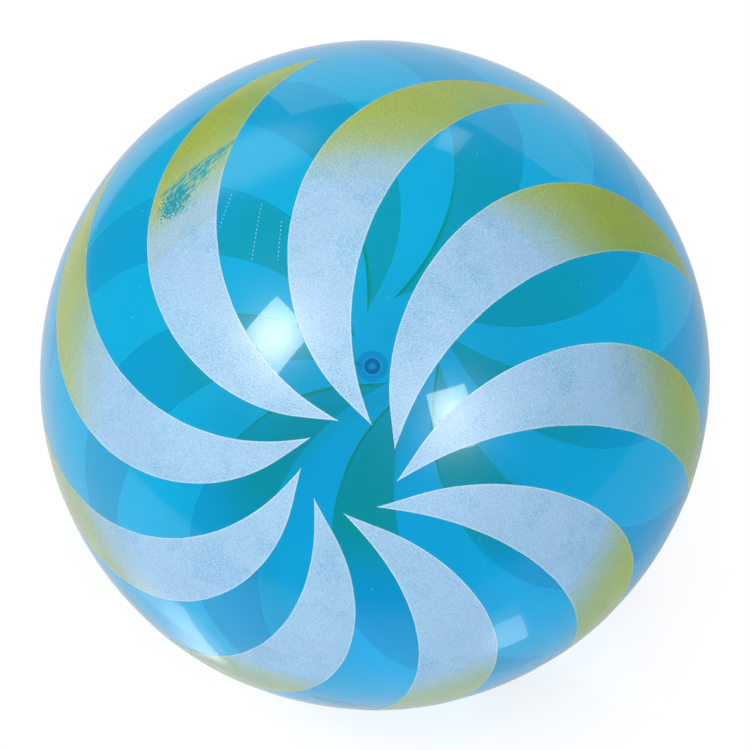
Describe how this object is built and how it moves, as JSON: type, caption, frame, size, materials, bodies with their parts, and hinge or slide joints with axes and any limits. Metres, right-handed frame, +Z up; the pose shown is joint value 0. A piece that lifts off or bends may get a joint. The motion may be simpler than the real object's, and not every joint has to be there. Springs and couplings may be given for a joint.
{
  "type": "inflatable play ball",
  "caption": "Hollow clear blue inflatable play ball with painted crescents swirling round each half and a push-in valve plug.",
  "frame": {"origin": "centre of the ball", "axes": "+Z up as the ball lies in the picture, -Y towards the viewer, +X to the viewer's right"},
  "size_m": [0.2308, 0.2304, 0.2318],
  "materials": {
    "clear_blue_vinyl": "clear, glossy, tinted blue",
    "plug_plastic": "satin, blue",
    "front_paint": "sprayed, white fading to yellow at the outer tips",
    "rear_paint": "sprayed, yellow fading to white at the outer tips"
  },
  "bodies": {
    "ball": {"ball_skin": "clear_blue_vinyl", "front_crescent_1": "front_paint", "front_crescent_2": "front_paint", "front_crescent_3": "front_paint", "front_crescent_4": "front_paint", "front_crescent_5": "front_paint", "front_crescent_6": "front_paint", "front_crescent_7": "front_paint", "front_crescent_8": "front_paint", "front_crescent_9": "front_paint", "rear_crescent_1": "rear_paint", "rear_crescent_2": "rear_paint", "rear_crescent_3": "rear_paint", "rear_crescent_4": "rear_paint", "rear_crescent_5": "rear_paint", "rear_crescent_6": "rear_paint", "rear_crescent_7": "rear_paint", "rear_crescent_8": "rear_paint", "rear_crescent_9": "rear_paint"},
    "plug": {"valve_plug": "plug_plastic"}
  },
  "joints": [
    {"name": "plug_pull", "type": "slide", "parent": "ball", "child": "plug", "axis": [-0.0087, 0.5, -0.866], "range_m": [0, 0.014]}
  ]
}
